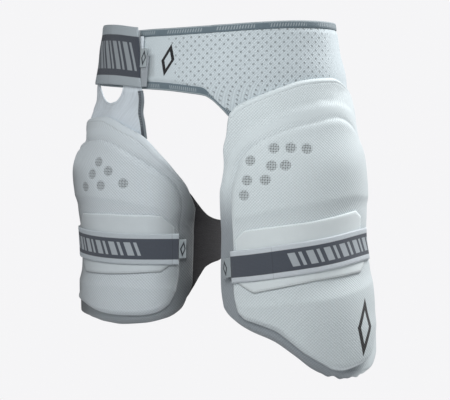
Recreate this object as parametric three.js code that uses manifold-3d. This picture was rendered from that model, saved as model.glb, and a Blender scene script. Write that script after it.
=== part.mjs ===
// A dual cricket thigh guard: a padded waist belt that carries an outer guard for the lead thigh, and an
// inner guard for the trailing thigh that hangs from the belt by a mesh hanger. Elastic straps close the
// waist and both thighs. Millimetres, +Z up, the wearer faces -Y, and the origin is the centre of the
// waist at the middle of the belt. Every piece lies on one of two body forms, a stack of ellipses that
// runs from the waist down one thigh. A turn is an angle round that form in degrees: 0 is its front and
// 90 its +X side. A lift is how far a face stands off the form.
import * as THREE from "three";
import Module from "manifold-3d";

// The body that the guard is cut for.
const waistHalfWidth = 157;
const waistHalfDepth = 100;
const thighHalfWidth = 80;
const thighHalfDepth = 82;
const thighSpread = 97;
const formDrop = 440;

// The space between two pieces that touch, and how far a piece that lies on another starts inside it
// before the cut that fits it there.
const seatGap = 0.35;
const bite = 0.8;

// The belt and its edge binding.
const beltHeight = 75;
const beltThickness = 5;
const bindingWidth = 8.5;
const bindingThickness = 1;

// The elastic straps with their hook ends and labels.
const waistStrapHeight = 75;
const thighStrapHeight = 39;
const strapThickness = 1.6;
const hookEndThickness = 1.2;
const hookEndHeight = 71;
const hookEndLength = 60;
const hookEndReach = 8.5;
const labelLength = 9.5;
const labelHeight = 24;
const labelThickness = 0.8;
const outerLabelDrop = 6;
const innerLabelDrop = 3;
const waistLabelRise = 1;

// The mesh hanger and the stretch wing of the inner guard.
const hangerHeight = 137;
const hangerThickness = 1.5;
const wingHeight = 150;
const wingThickness = 2;

// Where thin pieces lie that the pads cover: this far off the form.
const underLift = 2;

// The pads: a moulded base with a bevelled border, a raised shell, and a landing patch for the strap.
const padEdge = 4;
const padDepth = 10;
const padCollar = 7;
const collarWidth = 30;
const sideBevel = 17;
const footBevel = 9;
const shellDepth = 7;
const shellRound = 5;
const patchThickness = 1.2;
const patchAbove = 43;
const patchBelow = 34;

// The outer guard, for the lead thigh. Heights are of its highest point, and the patch and the strap run
// between two turns.
const outerPadTop = -36;
const outerPadHeight = 371;
const outerShellTop = -86;
const outerShellHeight = 311;
const outerStrapLevel = -260;
const outerStrapTilt = 9.4;
const outerPatchTurns = [-14.5, 85];
const outerStrapEnds = [-17.5, 326];

// The inner guard, for the trailing thigh.
const innerPadTop = -73;
const innerPadHeight = 267;
const innerShellTop = -92;
const innerShellHeight = 236;
const innerStrapLevel = -239;
const innerStrapTilt = -3.9;
const innerPatchTurns = [-52, 39];
const innerStrapEnds = [-235, 42];

// How many degrees before the edge of a shell or base a strap lifts off it.
const strapLeaveTurn = 5;

const radians = THREE.MathUtils.degToRad;
const degrees = THREE.MathUtils.radToDeg;
const mix = THREE.MathUtils.lerp;
const clamp = THREE.MathUtils.clamp;

// A smooth function through one column of a table, read against its key column. It never overshoots
// its rows, and it is flat past both ends.
function through(rows, key, column) {
  const at = rows.map((row) => row[key]);
  const to = rows.map((row) => row[column]);
  const step = at.slice(1).map((x, i) => x - at[i]);
  const rise = step.map((length, i) => (to[i + 1] - to[i]) / length);
  const slope = at.map((_, i) => {
    if (i === 0) return rise[0];
    if (i === rise.length) return rise[i - 1];
    if (rise[i - 1] * rise[i] <= 0) return 0;
    return (2 * rise[i - 1] * rise[i]) / (rise[i - 1] + rise[i]);
  });
  return (x) => {
    const inside = clamp(x, at[0], at.at(-1));
    const i = Math.min(at.findLastIndex((start) => start <= inside), step.length - 1);
    const t = (inside - at[i]) / step[i];
    const bend = (1 - t) * (slope[i] - rise[i]) * (1 - t) + (rise[i] - slope[i + 1]) * t * (1 - t);
    return mix(to[i], to[i + 1], t) + bend * t * step[i];
  };
}

// A body form. Its rows give sections by their drop, as a share of formDrop: the centre's distance from
// the middle as a share of thighSpread, how much of the section is waist rather than thigh, and a swell.
function bodyForm(side, rows) {
  const [spread, waist, swell] = ["spread", "waist", "swell"].map((column) => through(rows, "drop", column));
  return (height) => {
    const drop = -height / formDrop;
    return {
      centre: side * spread(drop) * thighSpread,
      halfWidth: mix(thighHalfWidth, waistHalfWidth, waist(drop)) * swell(drop),
      halfDepth: mix(thighHalfDepth, waistHalfDepth, waist(drop)) * swell(drop),
    };
  };
}

// The pad flares below the strap on the outer side, and the trailing thigh is straighter.
const leadForm = bodyForm(1, [
  { drop: -0.14, spread: 0, waist: 1, swell: 0.955 },
  { drop: 0, spread: 0, waist: 1, swell: 1 },
  { drop: 0.09, spread: 0, waist: 1, swell: 1.045 },
  { drop: 0.17, spread: 0.22, waist: 0.86, swell: 1.015 },
  { drop: 0.25, spread: 0.515, waist: 0.54, swell: 1 },
  { drop: 0.34, spread: 0.78, waist: 0.22, swell: 1.01 },
  { drop: 0.455, spread: 0.866, waist: 0.05, swell: 1.02 },
  { drop: 0.545, spread: 0.9, waist: 0, swell: 1.01 },
  { drop: 0.625, spread: 0.93, waist: 0, swell: 1.035 },
  { drop: 0.705, spread: 0.955, waist: 0, swell: 1.06 },
  { drop: 0.82, spread: 0.99, waist: 0, swell: 1.04 },
  { drop: 1, spread: 1.03, waist: 0, swell: 1 },
]);
const trailForm = bodyForm(-1, [
  { drop: -0.14, spread: 0, waist: 1, swell: 0.955 },
  { drop: 0, spread: 0, waist: 1, swell: 1 },
  { drop: 0.09, spread: 0, waist: 1, swell: 1.045 },
  { drop: 0.17, spread: 0.33, waist: 0.82, swell: 1.02 },
  { drop: 0.25, spread: 0.7, waist: 0.38, swell: 1.01 },
  { drop: 0.34, spread: 0.95, waist: 0.14, swell: 1.035 },
  { drop: 0.43, spread: 0.98, waist: 0.04, swell: 1.035 },
  { drop: 0.5, spread: 1, waist: 0.01, swell: 1 },
  { drop: 0.57, spread: 1.01, waist: 0, swell: 0.99 },
  { drop: 0.68, spread: 1.035, waist: 0, swell: 1 },
  { drop: 1, spread: 1.06, waist: 0, swell: 0.99 },
]);

function pointOn(form, turn, height, lift) {
  const { centre, halfWidth, halfDepth } = form(height);
  const angle = radians(turn);
  return new THREE.Vector3(
    centre + (halfWidth + lift) * Math.sin(angle),
    -(halfDepth + lift) * Math.cos(angle),
    height,
  );
}

// Millimetres to one degree of turn at a place on the form.
function degreeLength(form, turn, height) {
  return pointOn(form, turn - 0.5, height, 0).distanceTo(pointOn(form, turn + 0.5, height, 0));
}

// An even run of numbers from one end to the other.
function evenly(from, to, steps) {
  return Array.from({ length: steps + 1 }, (_, i) => mix(from, to, i / steps));
}

// A closed body from rings of four points, each joined to the next.
function sweptBody(rings) {
  const around = rings[0].length;
  const index = [];
  for (let r = 0; r + 1 < rings.length; r++) {
    for (let k = 0; k < around; k++) {
      const a = r * around + k;
      const b = r * around + ((k + 1) % around);
      index.push(a, b, b + around, a, b + around, a + around);
    }
  }
  const last = (rings.length - 1) * around;
  index.push(0, 2, 1, 0, 3, 2, last, last + 1, last + 2, last, last + 2, last + 3);
  return closedGeometry(rings.flat(), index);
}

// A geometry from points and corners, with its faces turned outwards.
function closedGeometry(points, index) {
  let volume = 0;
  for (let i = 0; i < index.length; i += 3) {
    const [a, b, c] = [points[index[i]], points[index[i + 1]], points[index[i + 2]]];
    volume += a.dot(new THREE.Vector3().crossVectors(b, c));
  }
  if (volume < 0) index.reverse();
  const geometry = new THREE.BufferGeometry().setFromPoints(points);
  geometry.setIndex(index);
  geometry.computeVertexNormals();
  return geometry;
}

const constant = (value) => () => value;

// A sheet of cloth or foam on a form, as a closed body. place(u, v) gives the turn and the height of a
// spot that is u across and v down the sheet; back and face give its two lifts there.
function sheet(form, across, down, place, back, face) {
  const side = (liftOf) =>
    down.map((v) =>
      across.map((u) => {
        const spot = { u, v, ...place(u, v) };
        return pointOn(form, spot.turn, spot.height, liftOf(spot));
      }),
    );
  const columns = across.length;
  const corners = columns * down.length;
  const points = [side(face), side(back)].flat(2);
  const index = [];
  const quad = (a, b, c, d) => index.push(a, b, c, a, c, d);
  for (let r = 0; r + 1 < down.length; r++) {
    for (let c = 0; c + 1 < columns; c++) {
      const a = r * columns + c;
      quad(a, a + columns, a + columns + 1, a + 1);
      quad(corners + a, corners + a + 1, corners + a + columns + 1, corners + a + columns);
    }
  }
  const top = across.map((_, c) => c);
  const right = down.slice(1).map((_, r) => (r + 2) * columns - 1);
  const foot = across.slice(1).map((_, c) => corners - 2 - c);
  const left = down.slice(1, -1).map((_, r) => (down.length - 2 - r) * columns);
  const rim = [...top, ...right, ...foot, ...left];
  rim.forEach((a, i) => {
    const b = rim[(i + 1) % rim.length];
    quad(a, b, corners + b, corners + a);
  });
  return closedGeometry(points, index);
}

// A binding folded over an edge: a bar that covers the edge and both faces, and that the cloth is cut
// out of afterwards. The path runs along the edge as turns and heights, and inward is +1 where the cloth
// lies on the left of the path.
function binding(form, path, inward, back, face) {
  const out = -seatGap - bindingThickness;
  const section = [
    [out, out, back],
    [bindingWidth, out, back],
    [bindingWidth, -out, face],
    [out, -out, face],
  ];
  const flat = path.map(({ turn, height }) => {
    return new THREE.Vector2(turn * degreeLength(form, turn, height), height);
  });
  const rings = path.map(({ turn, height }, i) => {
    const before = flat[Math.max(i - 1, 0)];
    const after = flat[Math.min(i + 1, flat.length - 1)];
    const along = after.clone().sub(before).normalize();
    const into = new THREE.Vector2(-along.y, along.x).multiplyScalar(inward);
    return section.map(([depth, off, lift]) => {
      const spot = {
        turn: turn + (into.x * depth) / degreeLength(form, turn, height),
        height: height + into.y * depth,
      };
      return pointOn(form, spot.turn, spot.height, lift(spot) + off);
    });
  });
  return sweptBody(rings);
}

// A body whose faces all stand off those of another by the same distance.
function grown(geometry, by) {
  const { position } = geometry.attributes;
  const corners = [...Array(position.count).keys()].map((i) => {
    return new THREE.Vector3().fromBufferAttribute(position, i);
  });
  const normals = corners.map(() => []);
  const index = Array.from(geometry.index.array);
  for (let i = 0; i < index.length; i += 3) {
    const [a, b, c] = index.slice(i, i + 3);
    const normal = new THREE.Triangle(corners[a], corners[b], corners[c]).getNormal(new THREE.Vector3());
    for (const corner of [a, b, c]) normals[corner].push(normal);
  }
  const moved = corners.map((corner, i) => {
    const away = normals[i].reduce((sum, normal) => sum.add(normal), new THREE.Vector3()).normalize();
    const least = Math.min(...normals[i].map((normal) => normal.dot(away)));
    return corner.clone().addScaledVector(away, by / Math.max(least, 0.4));
  });
  return new THREE.BufferGeometry().setFromPoints(moved).setIndex(index);
}

const wasm = await Module();
wasm.setup();

function solid(geometry) {
  const vertProperties = new Float32Array(geometry.attributes.position.array);
  const triVerts = new Uint32Array(geometry.index.array);
  return new wasm.Manifold(new wasm.Mesh({ numProp: 3, vertProperties, triVerts }));
}

const colours = { white: 0xd6dde0, grey: 0x62717a, slate: 0x4a505b, mesh: 0xc2c9cc, black: 0x2b292b };

const guard = new THREE.Group();
const shapes = {};

// Adds a piece, after it is cut to fit the pieces that it lies on.
function add(name, geometry, colour, ...under) {
  shapes[name] = geometry;
  let fitted = geometry;
  if (under.length > 0) {
    const cut = (rest, other) => rest.subtract(solid(grown(shapes[other], seatGap)));
    const body = under.reduce(cut, solid(geometry));
    const { vertProperties, triVerts } = body.getMesh();
    fitted = new THREE.BufferGeometry();
    fitted.setAttribute("position", new THREE.BufferAttribute(vertProperties, 3));
    fitted.setIndex(Array.from(triVerts));
    fitted.computeVertexNormals();
  }
  const material = new THREE.MeshStandardMaterial({ color: colours[colour], roughness: 0.9, metalness: 0 });
  const mesh = new THREE.Mesh(fitted, material);
  mesh.name = name;
  guard.add(mesh);
}

// The belt. Its top and foot are shares of beltHeight from the origin, and below the lead hip it widens
// into a yoke that runs behind the outer guard.
const beltRows = [
  { turn: -78, top: 0.44, foot: -0.36 },
  { turn: -50, top: 0.44, foot: -0.43 },
  { turn: -18, top: 0.44, foot: -0.547 },
  { turn: -9, top: 0.44, foot: -0.587 },
  { turn: 2, top: 0.44, foot: -0.667 },
  { turn: 10, top: 0.44, foot: -0.75 },
  { turn: 15, top: 0.45, foot: -1.07 },
  { turn: 19, top: 0.45, foot: -1.2 },
  { turn: 30, top: 0.45, foot: -1.27 },
  { turn: 60, top: 0.45, foot: -1.17 },
  { turn: 108, top: 0.45, foot: -1.12 },
  { turn: 124, top: 0.45, foot: -0.85 },
  { turn: 140, top: 0.45, foot: -0.5 },
];
const beltTop = through(beltRows, "turn", "top");
const beltFoot = through(beltRows, "turn", "foot");
const beltCornerTurn = 10;
const beltCutTurn = 15.5;
const beltTurns = [
  ...evenly(beltRows[0].turn, beltCornerTurn, 11),
  12.5,
  beltCutTurn,
  19,
  ...evenly(25, beltRows.at(-1).turn, 14),
];

// Where each turn of a list lies in it, as a share of its whole.
function shares(turns) {
  return turns.map((turn) => (turn - turns[0]) / (turns.at(-1) - turns[0]));
}

function belt() {
  const place = (u, v) => {
    const turn = mix(beltTurns[0], beltTurns.at(-1), u);
    return { turn, height: beltHeight * mix(beltTop(turn), beltFoot(turn), v) };
  };
  return sheet(leadForm, shares(beltTurns), evenly(0, 1, 3), place, constant(0), constant(beltThickness));
}

function beltBinding(turns, edge, inward) {
  const path = turns.map((turn) => ({ turn, height: beltHeight * edge(turn) }));
  return binding(leadForm, path, inward, constant(0), constant(beltThickness));
}

add("belt", belt(), "white");
add("belt_top_binding", beltBinding(beltTurns, beltTop, -1), "grey", "belt");
add(
  "belt_lower_binding",
  beltBinding(beltTurns.filter((turn) => turn <= beltCutTurn), beltFoot, 1),
  "grey",
  "belt",
);

// Outlines. Edges give the top and foot of a pad, as shares of its height, across its width. Sides give
// the turns of its two side edges, down its height.
const outerPadEdges = [
  { across: 0, top: 0.094, foot: 0.779 },
  { across: 0.05, top: 0.083, foot: 0.81 },
  { across: 0.15, top: 0.057, foot: 0.84 },
  { across: 0.3, top: 0.026, foot: 0.872 },
  { across: 0.4, top: 0.012, foot: 0.917 },
  { across: 0.5, top: 0.003, foot: 0.966 },
  { across: 0.6, top: 0, foot: 0.992 },
  { across: 0.72, top: 0.015, foot: 1 },
  { across: 0.86, top: 0.052, foot: 0.98 },
  { across: 1, top: 0.12, foot: 0.906 },
];
const outerPadSides = [
  { down: 0, left: 16, right: 115 },
  { down: 0.1, left: 6, right: 118 },
  { down: 0.2, left: -6, right: 120 },
  { down: 0.3, left: -17, right: 121 },
  { down: 0.4, left: -25, right: 121 },
  { down: 0.55, left: -32.5, right: 120 },
  { down: 0.7, left: -39, right: 118 },
  { down: 0.85, left: -41, right: 114 },
  { down: 1, left: -38, right: 105 },
];
const outerShellEdges = [
  { across: 0, top: 0.174, foot: 0.794 },
  { across: 0.08, top: 0.138, foot: 0.81 },
  { across: 0.17, top: 0.096, foot: 0.823 },
  { across: 0.27, top: 0.071, foot: 0.846 },
  { across: 0.39, top: 0.039, foot: 0.887 },
  { across: 0.52, top: 0.019, foot: 0.95 },
  { across: 0.64, top: 0.003, foot: 0.992 },
  { across: 0.72, top: 0, foot: 1 },
  { across: 0.8, top: 0.029, foot: 1 },
  { across: 0.88, top: 0.078, foot: 0.987 },
  { across: 1, top: 0.174, foot: 0.945 },
];
const outerShellSides = [
  { down: 0, left: -1, right: 97 },
  { down: 0.12, left: -9, right: 101 },
  { down: 0.25, left: -14, right: 104 },
  { down: 0.4, left: -17, right: 104 },
  { down: 0.55, left: -19, right: 96 },
  { down: 0.7, left: -20, right: 89 },
  { down: 0.85, left: -22, right: 84 },
  { down: 1, left: -19, right: 75 },
];
const innerPadEdges = [
  { across: 0, top: 0.1, foot: 0.9 },
  { across: 0.07, top: 0.04, foot: 0.935 },
  { across: 0.2, top: 0, foot: 0.965 },
  { across: 0.34, top: 0.004, foot: 0.98 },
  { across: 0.46, top: 0.05, foot: 0.992 },
  { across: 0.58, top: 0.1, foot: 1 },
  { across: 0.71, top: 0.175, foot: 0.996 },
  { across: 0.84, top: 0.26, foot: 0.975 },
  { across: 0.93, top: 0.345, foot: 0.93 },
  { across: 1, top: 0.45, foot: 0.82 },
];
const innerPadSides = [
  { down: 0, left: -88, right: 57 },
  { down: 0.5, left: -92, right: 58 },
  { down: 1, left: -87, right: 57 },
];
const innerShellEdges = [
  { across: 0, top: 0.06, foot: 0.87 },
  { across: 0.1, top: 0.01, foot: 0.915 },
  { across: 0.25, top: 0, foot: 0.945 },
  { across: 0.4, top: 0.03, foot: 0.972 },
  { across: 0.55, top: 0.095, foot: 0.992 },
  { across: 0.7, top: 0.18, foot: 1 },
  { across: 0.82, top: 0.275, foot: 0.985 },
  { across: 0.92, top: 0.39, foot: 0.95 },
  { across: 1, top: 0.55, foot: 0.87 },
];
const innerShellSides = [
  { down: 0, left: -58, right: 42 },
  { down: 0.15, left: -60, right: 43 },
  { down: 0.5, left: -68, right: 43 },
  { down: 0.8, left: -66, right: 43 },
  { down: 1, left: -60, right: 41 },
];

// The place function of a pad whose outline is given by its edges and sides.
function outlined(top, height, edges, sides) {
  const [edgeTop, edgeFoot] = ["top", "foot"].map((column) => through(edges, "across", column));
  const [left, right] = ["left", "right"].map((column) => through(sides, "down", column));
  return (u, v) => ({
    turn: mix(left(v), right(v), u),
    height: top - height * mix(edgeTop(u), edgeFoot(u), v),
    topGap: height * v * (edgeFoot(u) - edgeTop(u)),
    footGap: height * (1 - v) * (edgeFoot(u) - edgeTop(u)),
    sideGap: (form, spot) =>
      Math.min(u, 1 - u) * (right(v) - left(v)) * degreeLength(form, spot.turn, spot.height),
  });
}

const padBack = beltThickness + seatGap;
const padFace = padBack + padDepth;
const shellFace = padFace + seatGap + shellDepth;
const patchFace = shellFace + seatGap + patchThickness;
const strapSeat = patchFace + seatGap;

// How far a pad's base stands off: a bevel from the edge at both sides and the foot, and a low collar
// at the top before the full depth.
function baseFace(form) {
  return (spot) => {
    const side = spot.sideGap(form, spot) / sideBevel;
    const border = clamp(Math.min(side, spot.footGap / footBevel), 0, 1);
    const brow = mix(padEdge, padCollar, clamp(spot.topGap / padEdge, 0, 1));
    const step = clamp((spot.topGap - collarWidth) / footBevel, 0, 1);
    return padBack + Math.min(mix(padEdge, padDepth, border), mix(brow, padDepth, step));
  };
}

// The shell's face: full depth with a rounded rim.
function roundedFace(form) {
  return (spot) => {
    const rim = Math.min(spot.footGap, spot.topGap, spot.sideGap(form, spot)) / shellRound;
    return shellFace - shellRound * (1 - Math.sqrt(1 - (1 - clamp(rim, 0, 1)) ** 2)) * 0.8;
  };
}

const baseColumns = [0, 0.06, 0.12, ...evenly(0.2, 0.8, 9), 0.88, 0.94, 1];
const baseRows = [0, 0.012, 0.085, 0.115, ...evenly(0.2, 0.88, 6), 0.965, 1];
const shellColumns = [0, 0.012, 0.035, ...evenly(0.11, 0.89, 9), 0.965, 0.988, 1];
const shellRows = [0, 0.006, 0.018, ...evenly(0.1, 0.9, 6), 0.982, 0.994, 1];

const outerPlace = outlined(outerPadTop, outerPadHeight, outerPadEdges, outerPadSides);
const outerShellPlace = outlined(outerShellTop, outerShellHeight, outerShellEdges, outerShellSides);
const innerPlace = outlined(innerPadTop, innerPadHeight, innerPadEdges, innerPadSides);
const innerShellPlace = outlined(innerShellTop, innerShellHeight, innerShellEdges, innerShellSides);

function padBase(form, place) {
  return sheet(form, baseColumns, baseRows, place, constant(padBack), baseFace(form));
}

function padShell(form, place) {
  return sheet(form, shellColumns, shellRows, place, constant(padFace - bite), roundedFace(form));
}

// The height of a thigh strap's middle line, which is a tilted ring.
function strapMiddle(level, tilt) {
  return (turn) => level + (thighHalfWidth + strapSeat) * Math.sin(radians(turn)) * Math.tan(radians(tilt));
}

const outerMiddle = strapMiddle(outerStrapLevel, outerStrapTilt);
const innerMiddle = strapMiddle(innerStrapLevel, innerStrapTilt);

// The landing patch that a strap's hook end closes on: a band with cut corners.
const patchEnds = [
  { across: 0, above: 0.75, below: 0.6 },
  { across: 0.13, above: 1, below: 1 },
  { across: 0.87, above: 1, below: 1 },
  { across: 1, above: 0.7, below: 0.7 },
];

function landingPatch(form, [from, to], middle) {
  const [above, below] = ["above", "below"].map((column) => through(patchEnds, "across", column));
  const place = (u, v) => {
    const turn = mix(from, to, u);
    return { turn, height: middle(turn) + mix(patchAbove * above(u), -patchBelow * below(u), v) };
  };
  const across = [0, 0.13, ...evenly(0.22, 0.78, 7), 0.87, 1];
  return sheet(form, across, evenly(0, 1, 3), place, constant(shellFace - bite), constant(patchFace));
}

// A flat strap round a form, between two turns. back gives its lift off the form.
function strap(form, turns, height, middle, back) {
  const place = (u, v) => {
    const turn = mix(turns[0], turns.at(-1), u);
    return { turn, height: middle(turn) + mix(height / 2, -height / 2, v) };
  };
  const face = (spot) => back(spot) + strapThickness;
  return sheet(form, shares(turns), [0, 1], place, back, face);
}

// The lift of a strap that leaves a high seat at a turn, and runs straight until it touches a low one.
function tautLift(turned, leaves, high, low) {
  const radius = thighHalfWidth;
  const reach = degrees(Math.acos((radius + low) / (radius + high)));
  return (radius + low) / Math.cos(radians(clamp(leaves + reach - turned, 0, reach))) - radius;
}

// The turn of a pad's side edge where a strap's middle line passes it. u is the side, 0 or 1.
function sideTurn(place, u, middle) {
  const crossed = evenly(0, 1, 100).find((v) => place(u, v).height < middle(place(u, v).turn));
  return place(u, crossed).turn;
}

// The lift of a strap that comes off a shell, then off the pad's base, and then lies on the leg. It
// leaves them by their side u, and out is +1 or -1, the way that it runs.
function strapLift(shellPlace, basePlace, u, middle) {
  const out = u === 1 ? 1 : -1;
  const leavesShell = sideTurn(shellPlace, u, middle) * out - strapLeaveTurn;
  const leavesBase = sideTurn(basePlace, u, middle) * out - strapLeaveTurn;
  const baseSeat = padFace + seatGap;
  return (turn) =>
    tautLift(turn * out, leavesShell, strapSeat, baseSeat) +
    tautLift(turn * out, leavesBase, baseSeat, underLift) -
    baseSeat;
}

// A bare label, sewn to the end of a strap and sticking out past it. It bends towards the pad by a drop.
function label(form, end, out, middle, lift, drop) {
  const degree = degreeLength(form, end, middle(end)) * out;
  const from = end + seatGap / degree;
  const to = end + labelLength / degree;
  const place = (u, v) => {
    const turn = mix(from, to, u);
    return { turn, height: middle(turn) + mix(labelHeight / 2, -labelHeight / 2, v) };
  };
  const back = ({ u }) => lift + (strapThickness - labelThickness) / 2 - drop * u * u;
  return sheet(form, [0, 0.5, 1], [0, 1], place, back, (spot) => back(spot) + labelThickness);
}

// The outer guard.
add("outer_pad_base", padBase(leadForm, outerPlace), "white", "belt", "belt_lower_binding");
add("outer_pad_shell", padShell(leadForm, outerShellPlace), "white", "outer_pad_base");
add("outer_landing_patch", landingPatch(leadForm, outerPatchTurns, outerMiddle), "white", "outer_pad_shell");

// Its strap runs from the front end over the shell, round the outside and back of the thigh, to where it
// is sewn behind the guard's inner edge.
const outerStrapTurns = evenly(...outerStrapEnds, 46);
const outerLift = strapLift(outerShellPlace, outerPlace, 1, outerMiddle);
add(
  "outer_strap",
  strap(leadForm, outerStrapTurns, thighStrapHeight, outerMiddle, ({ turn }) => outerLift(turn)),
  "slate",
  "outer_landing_patch",
  "outer_pad_shell",
  "outer_pad_base",
);
add(
  "outer_strap_label",
  label(leadForm, outerStrapEnds[0], -1, outerMiddle, strapSeat, outerLabelDrop),
  "white",
);

// The hanger: two arms pass up between the belt and the waist strap with a notch between them, and the
// foot is sewn behind the inner guard's top edge. Top and foot are shares of hangerHeight.
const hangerTop = 25;
const hangerRows = [
  { across: 0, top: 0, foot: 0.86 },
  { across: 0.3, top: 0, foot: 0.79 },
  { across: 0.335, top: 0.15, foot: 0.79 },
  { across: 0.36, top: 0.39, foot: 0.79 },
  { across: 0.475, top: 0.49, foot: 0.79 },
  { across: 0.574, top: 0.547, foot: 0.81 },
  { across: 0.656, top: 0.584, foot: 0.83 },
  { across: 0.72, top: 0.577, foot: 0.85 },
  { across: 0.754, top: 0.533, foot: 0.87 },
  { across: 0.787, top: 0.43, foot: 0.89 },
  { across: 0.81, top: 0.15, foot: 0.91 },
  { across: 0.84, top: 0, foot: 0.93 },
  { across: 1, top: 0, foot: 1 },
];
const hangerSides = [
  { down: 0, left: -80, right: -19.5 },
  { down: 0.45, left: -80, right: -19 },
  { down: 0.63, left: -82, right: -15.5 },
  { down: 0.8, left: -85, right: -8 },
  { down: 1, left: -88, right: 4 },
];
const hangerColumns = [0, 0.1, 0.2, ...hangerRows.slice(1, -1).map((row) => row.across), 0.92, 1];
const hangerPlace = outlined(hangerTop, hangerHeight, hangerRows, hangerSides);
const overBelt = beltThickness + 2 * seatGap + bindingThickness;
const hangerBack = ({ height }) =>
  mix(overBelt, underLift, clamp((-beltHeight * 0.6 - height) / (beltHeight / 4), 0, 1));
const hangerFace = (spot) => hangerBack(spot) + hangerThickness;
const hangerEdge = evenly(0.5, 0.94, 6).map((down) => hangerPlace(1, down));

add(
  "hanger",
  sheet(trailForm, hangerColumns, evenly(0, 1, 6), hangerPlace, hangerBack, hangerFace),
  "mesh",
  "belt",
  "belt_top_binding",
  "belt_lower_binding",
);
add(
  "hanger_binding",
  binding(trailForm, hangerEdge, -1, hangerBack, hangerFace),
  "grey",
  "hanger",
  "belt_lower_binding",
);

// The wing of stretch cloth on the inner side of the trailing thigh. Its top and foot are shares of
// wingHeight from the strap's middle line.
const wingRows = [
  { turn: 47, top: 0.5, foot: -0.44 },
  { turn: 53, top: 0.5, foot: -0.43 },
  { turn: 60, top: 0.42, foot: -0.34 },
  { turn: 68, top: 0.345, foot: -0.235 },
  { turn: 76, top: 0.3, foot: -0.16 },
  { turn: 88, top: 0.26, foot: -0.13 },
  { turn: 104, top: 0.235, foot: -0.12 },
  { turn: 142, top: 0.19, foot: -0.1 },
];
const wingTurns = evenly(wingRows[0].turn, wingRows.at(-1).turn, 13);
const wingFace = underLift + wingThickness;

function wing() {
  const [top, foot] = ["top", "foot"].map((column) => through(wingRows, "turn", column));
  const place = (u, v) => {
    const turn = mix(wingTurns[0], wingTurns.at(-1), u);
    return { turn, height: innerMiddle(turn) + wingHeight * mix(top(turn), foot(turn), v) };
  };
  const down = evenly(0, 1, 5);
  return sheet(trailForm, shares(wingTurns), down, place, constant(underLift), constant(wingFace));
}

add("inner_wing", wing(), "black");

// The inner guard.
add("inner_pad_base", padBase(trailForm, innerPlace), "white", "hanger", "hanger_binding", "inner_wing");
add("inner_pad_shell", padShell(trailForm, innerShellPlace), "white", "inner_pad_base");
add(
  "inner_landing_patch",
  landingPatch(trailForm, innerPatchTurns, innerMiddle),
  "white",
  "inner_pad_shell",
);

// Its strap runs the other way round, and is sewn on the end of the wing.
const innerStrapTurns = evenly(...innerStrapEnds, 38);
const innerLift = strapLift(innerShellPlace, innerPlace, 0, innerMiddle);
const wingEndTurn = wingRows.at(-1).turn - 360;
const wingStepTurn = 6;
const innerStrapBack = ({ turn }) => {
  const onWing = clamp((wingEndTurn - turn) / wingStepTurn + 1, 0, 1);
  return Math.max(innerLift(turn), mix(underLift, wingFace + seatGap, onWing));
};
add(
  "inner_strap",
  strap(trailForm, innerStrapTurns, thighStrapHeight, innerMiddle, innerStrapBack),
  "slate",
  "inner_landing_patch",
  "inner_pad_shell",
  "inner_pad_base",
  "inner_wing",
);
add(
  "inner_strap_label",
  label(trailForm, innerStrapEnds[1], 1, innerMiddle, strapSeat, innerLabelDrop),
  "white",
);

// The waist strap: from its front end over the hanger and the belt's end, round the back, to where it
// is sewn on the belt's rear end. Its middle rises by shares of its height, and its seat is a share of
// the lift at its front end.
const overHanger = overBelt + hangerThickness + seatGap;
const waistSeat = overHanger + hookEndThickness + seatGap;
const waistStrapRows = [
  { turn: -242, rise: 0, seat: 0.69 },
  { turn: -221, rise: 0.03, seat: 0.69 },
  { turn: -205, rise: 0.09, seat: 0.2 },
  { turn: -180, rise: 0.133, seat: 0.2 },
  { turn: -112, rise: 0.133, seat: 0.2 },
  { turn: -84, rise: 0.13, seat: 1 },
  { turn: -58, rise: 0.1, seat: 1 },
  { turn: -40, rise: 0.053, seat: 1 },
  { turn: -20.5, rise: -0.05, seat: 1 },
];
const waistRise = through(waistStrapRows, "turn", "rise");
const waistSeatShare = through(waistStrapRows, "turn", "seat");
const waistMiddle = (turn) => waistStrapHeight * waistRise(turn);
const waistStrapTurns = evenly(waistStrapRows[0].turn, waistStrapRows.at(-1).turn, 42);
const waistStrapBack = ({ turn }) => waistSeat * waistSeatShare(turn);
const waistFront = waistStrapTurns.at(-1);
const waistDegree = degreeLength(leadForm, waistFront, 0);
const hookEndTurns = evenly(
  waistFront - hookEndLength / waistDegree,
  waistFront + hookEndReach / waistDegree,
  5,
);

function hookEnd() {
  const place = (u, v) => {
    const turn = mix(hookEndTurns[0], hookEndTurns.at(-1), u);
    return { turn, height: waistMiddle(turn) + mix(hookEndHeight / 2, -hookEndHeight / 2, v) };
  };
  const face = constant(overHanger + hookEndThickness);
  return sheet(leadForm, shares(hookEndTurns), evenly(0, 1, 3), place, constant(overHanger - bite), face);
}

add(
  "waist_hook_end",
  hookEnd(),
  "mesh",
  "hanger",
  "hanger_binding",
  "belt_top_binding",
  "belt_lower_binding",
  "belt",
);
add(
  "waist_strap",
  strap(leadForm, waistStrapTurns, waistStrapHeight, waistMiddle, waistStrapBack),
  "slate",
  "waist_hook_end",
  "hanger",
  "belt_top_binding",
  "belt_lower_binding",
  "belt",
);
const waistLabelMiddle = (turn) => waistMiddle(turn) + waistLabelRise;
add("waist_strap_label", label(leadForm, waistFront, 1, waistLabelMiddle, waistSeat, 0), "white");

export default guard;
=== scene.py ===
import math

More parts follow.
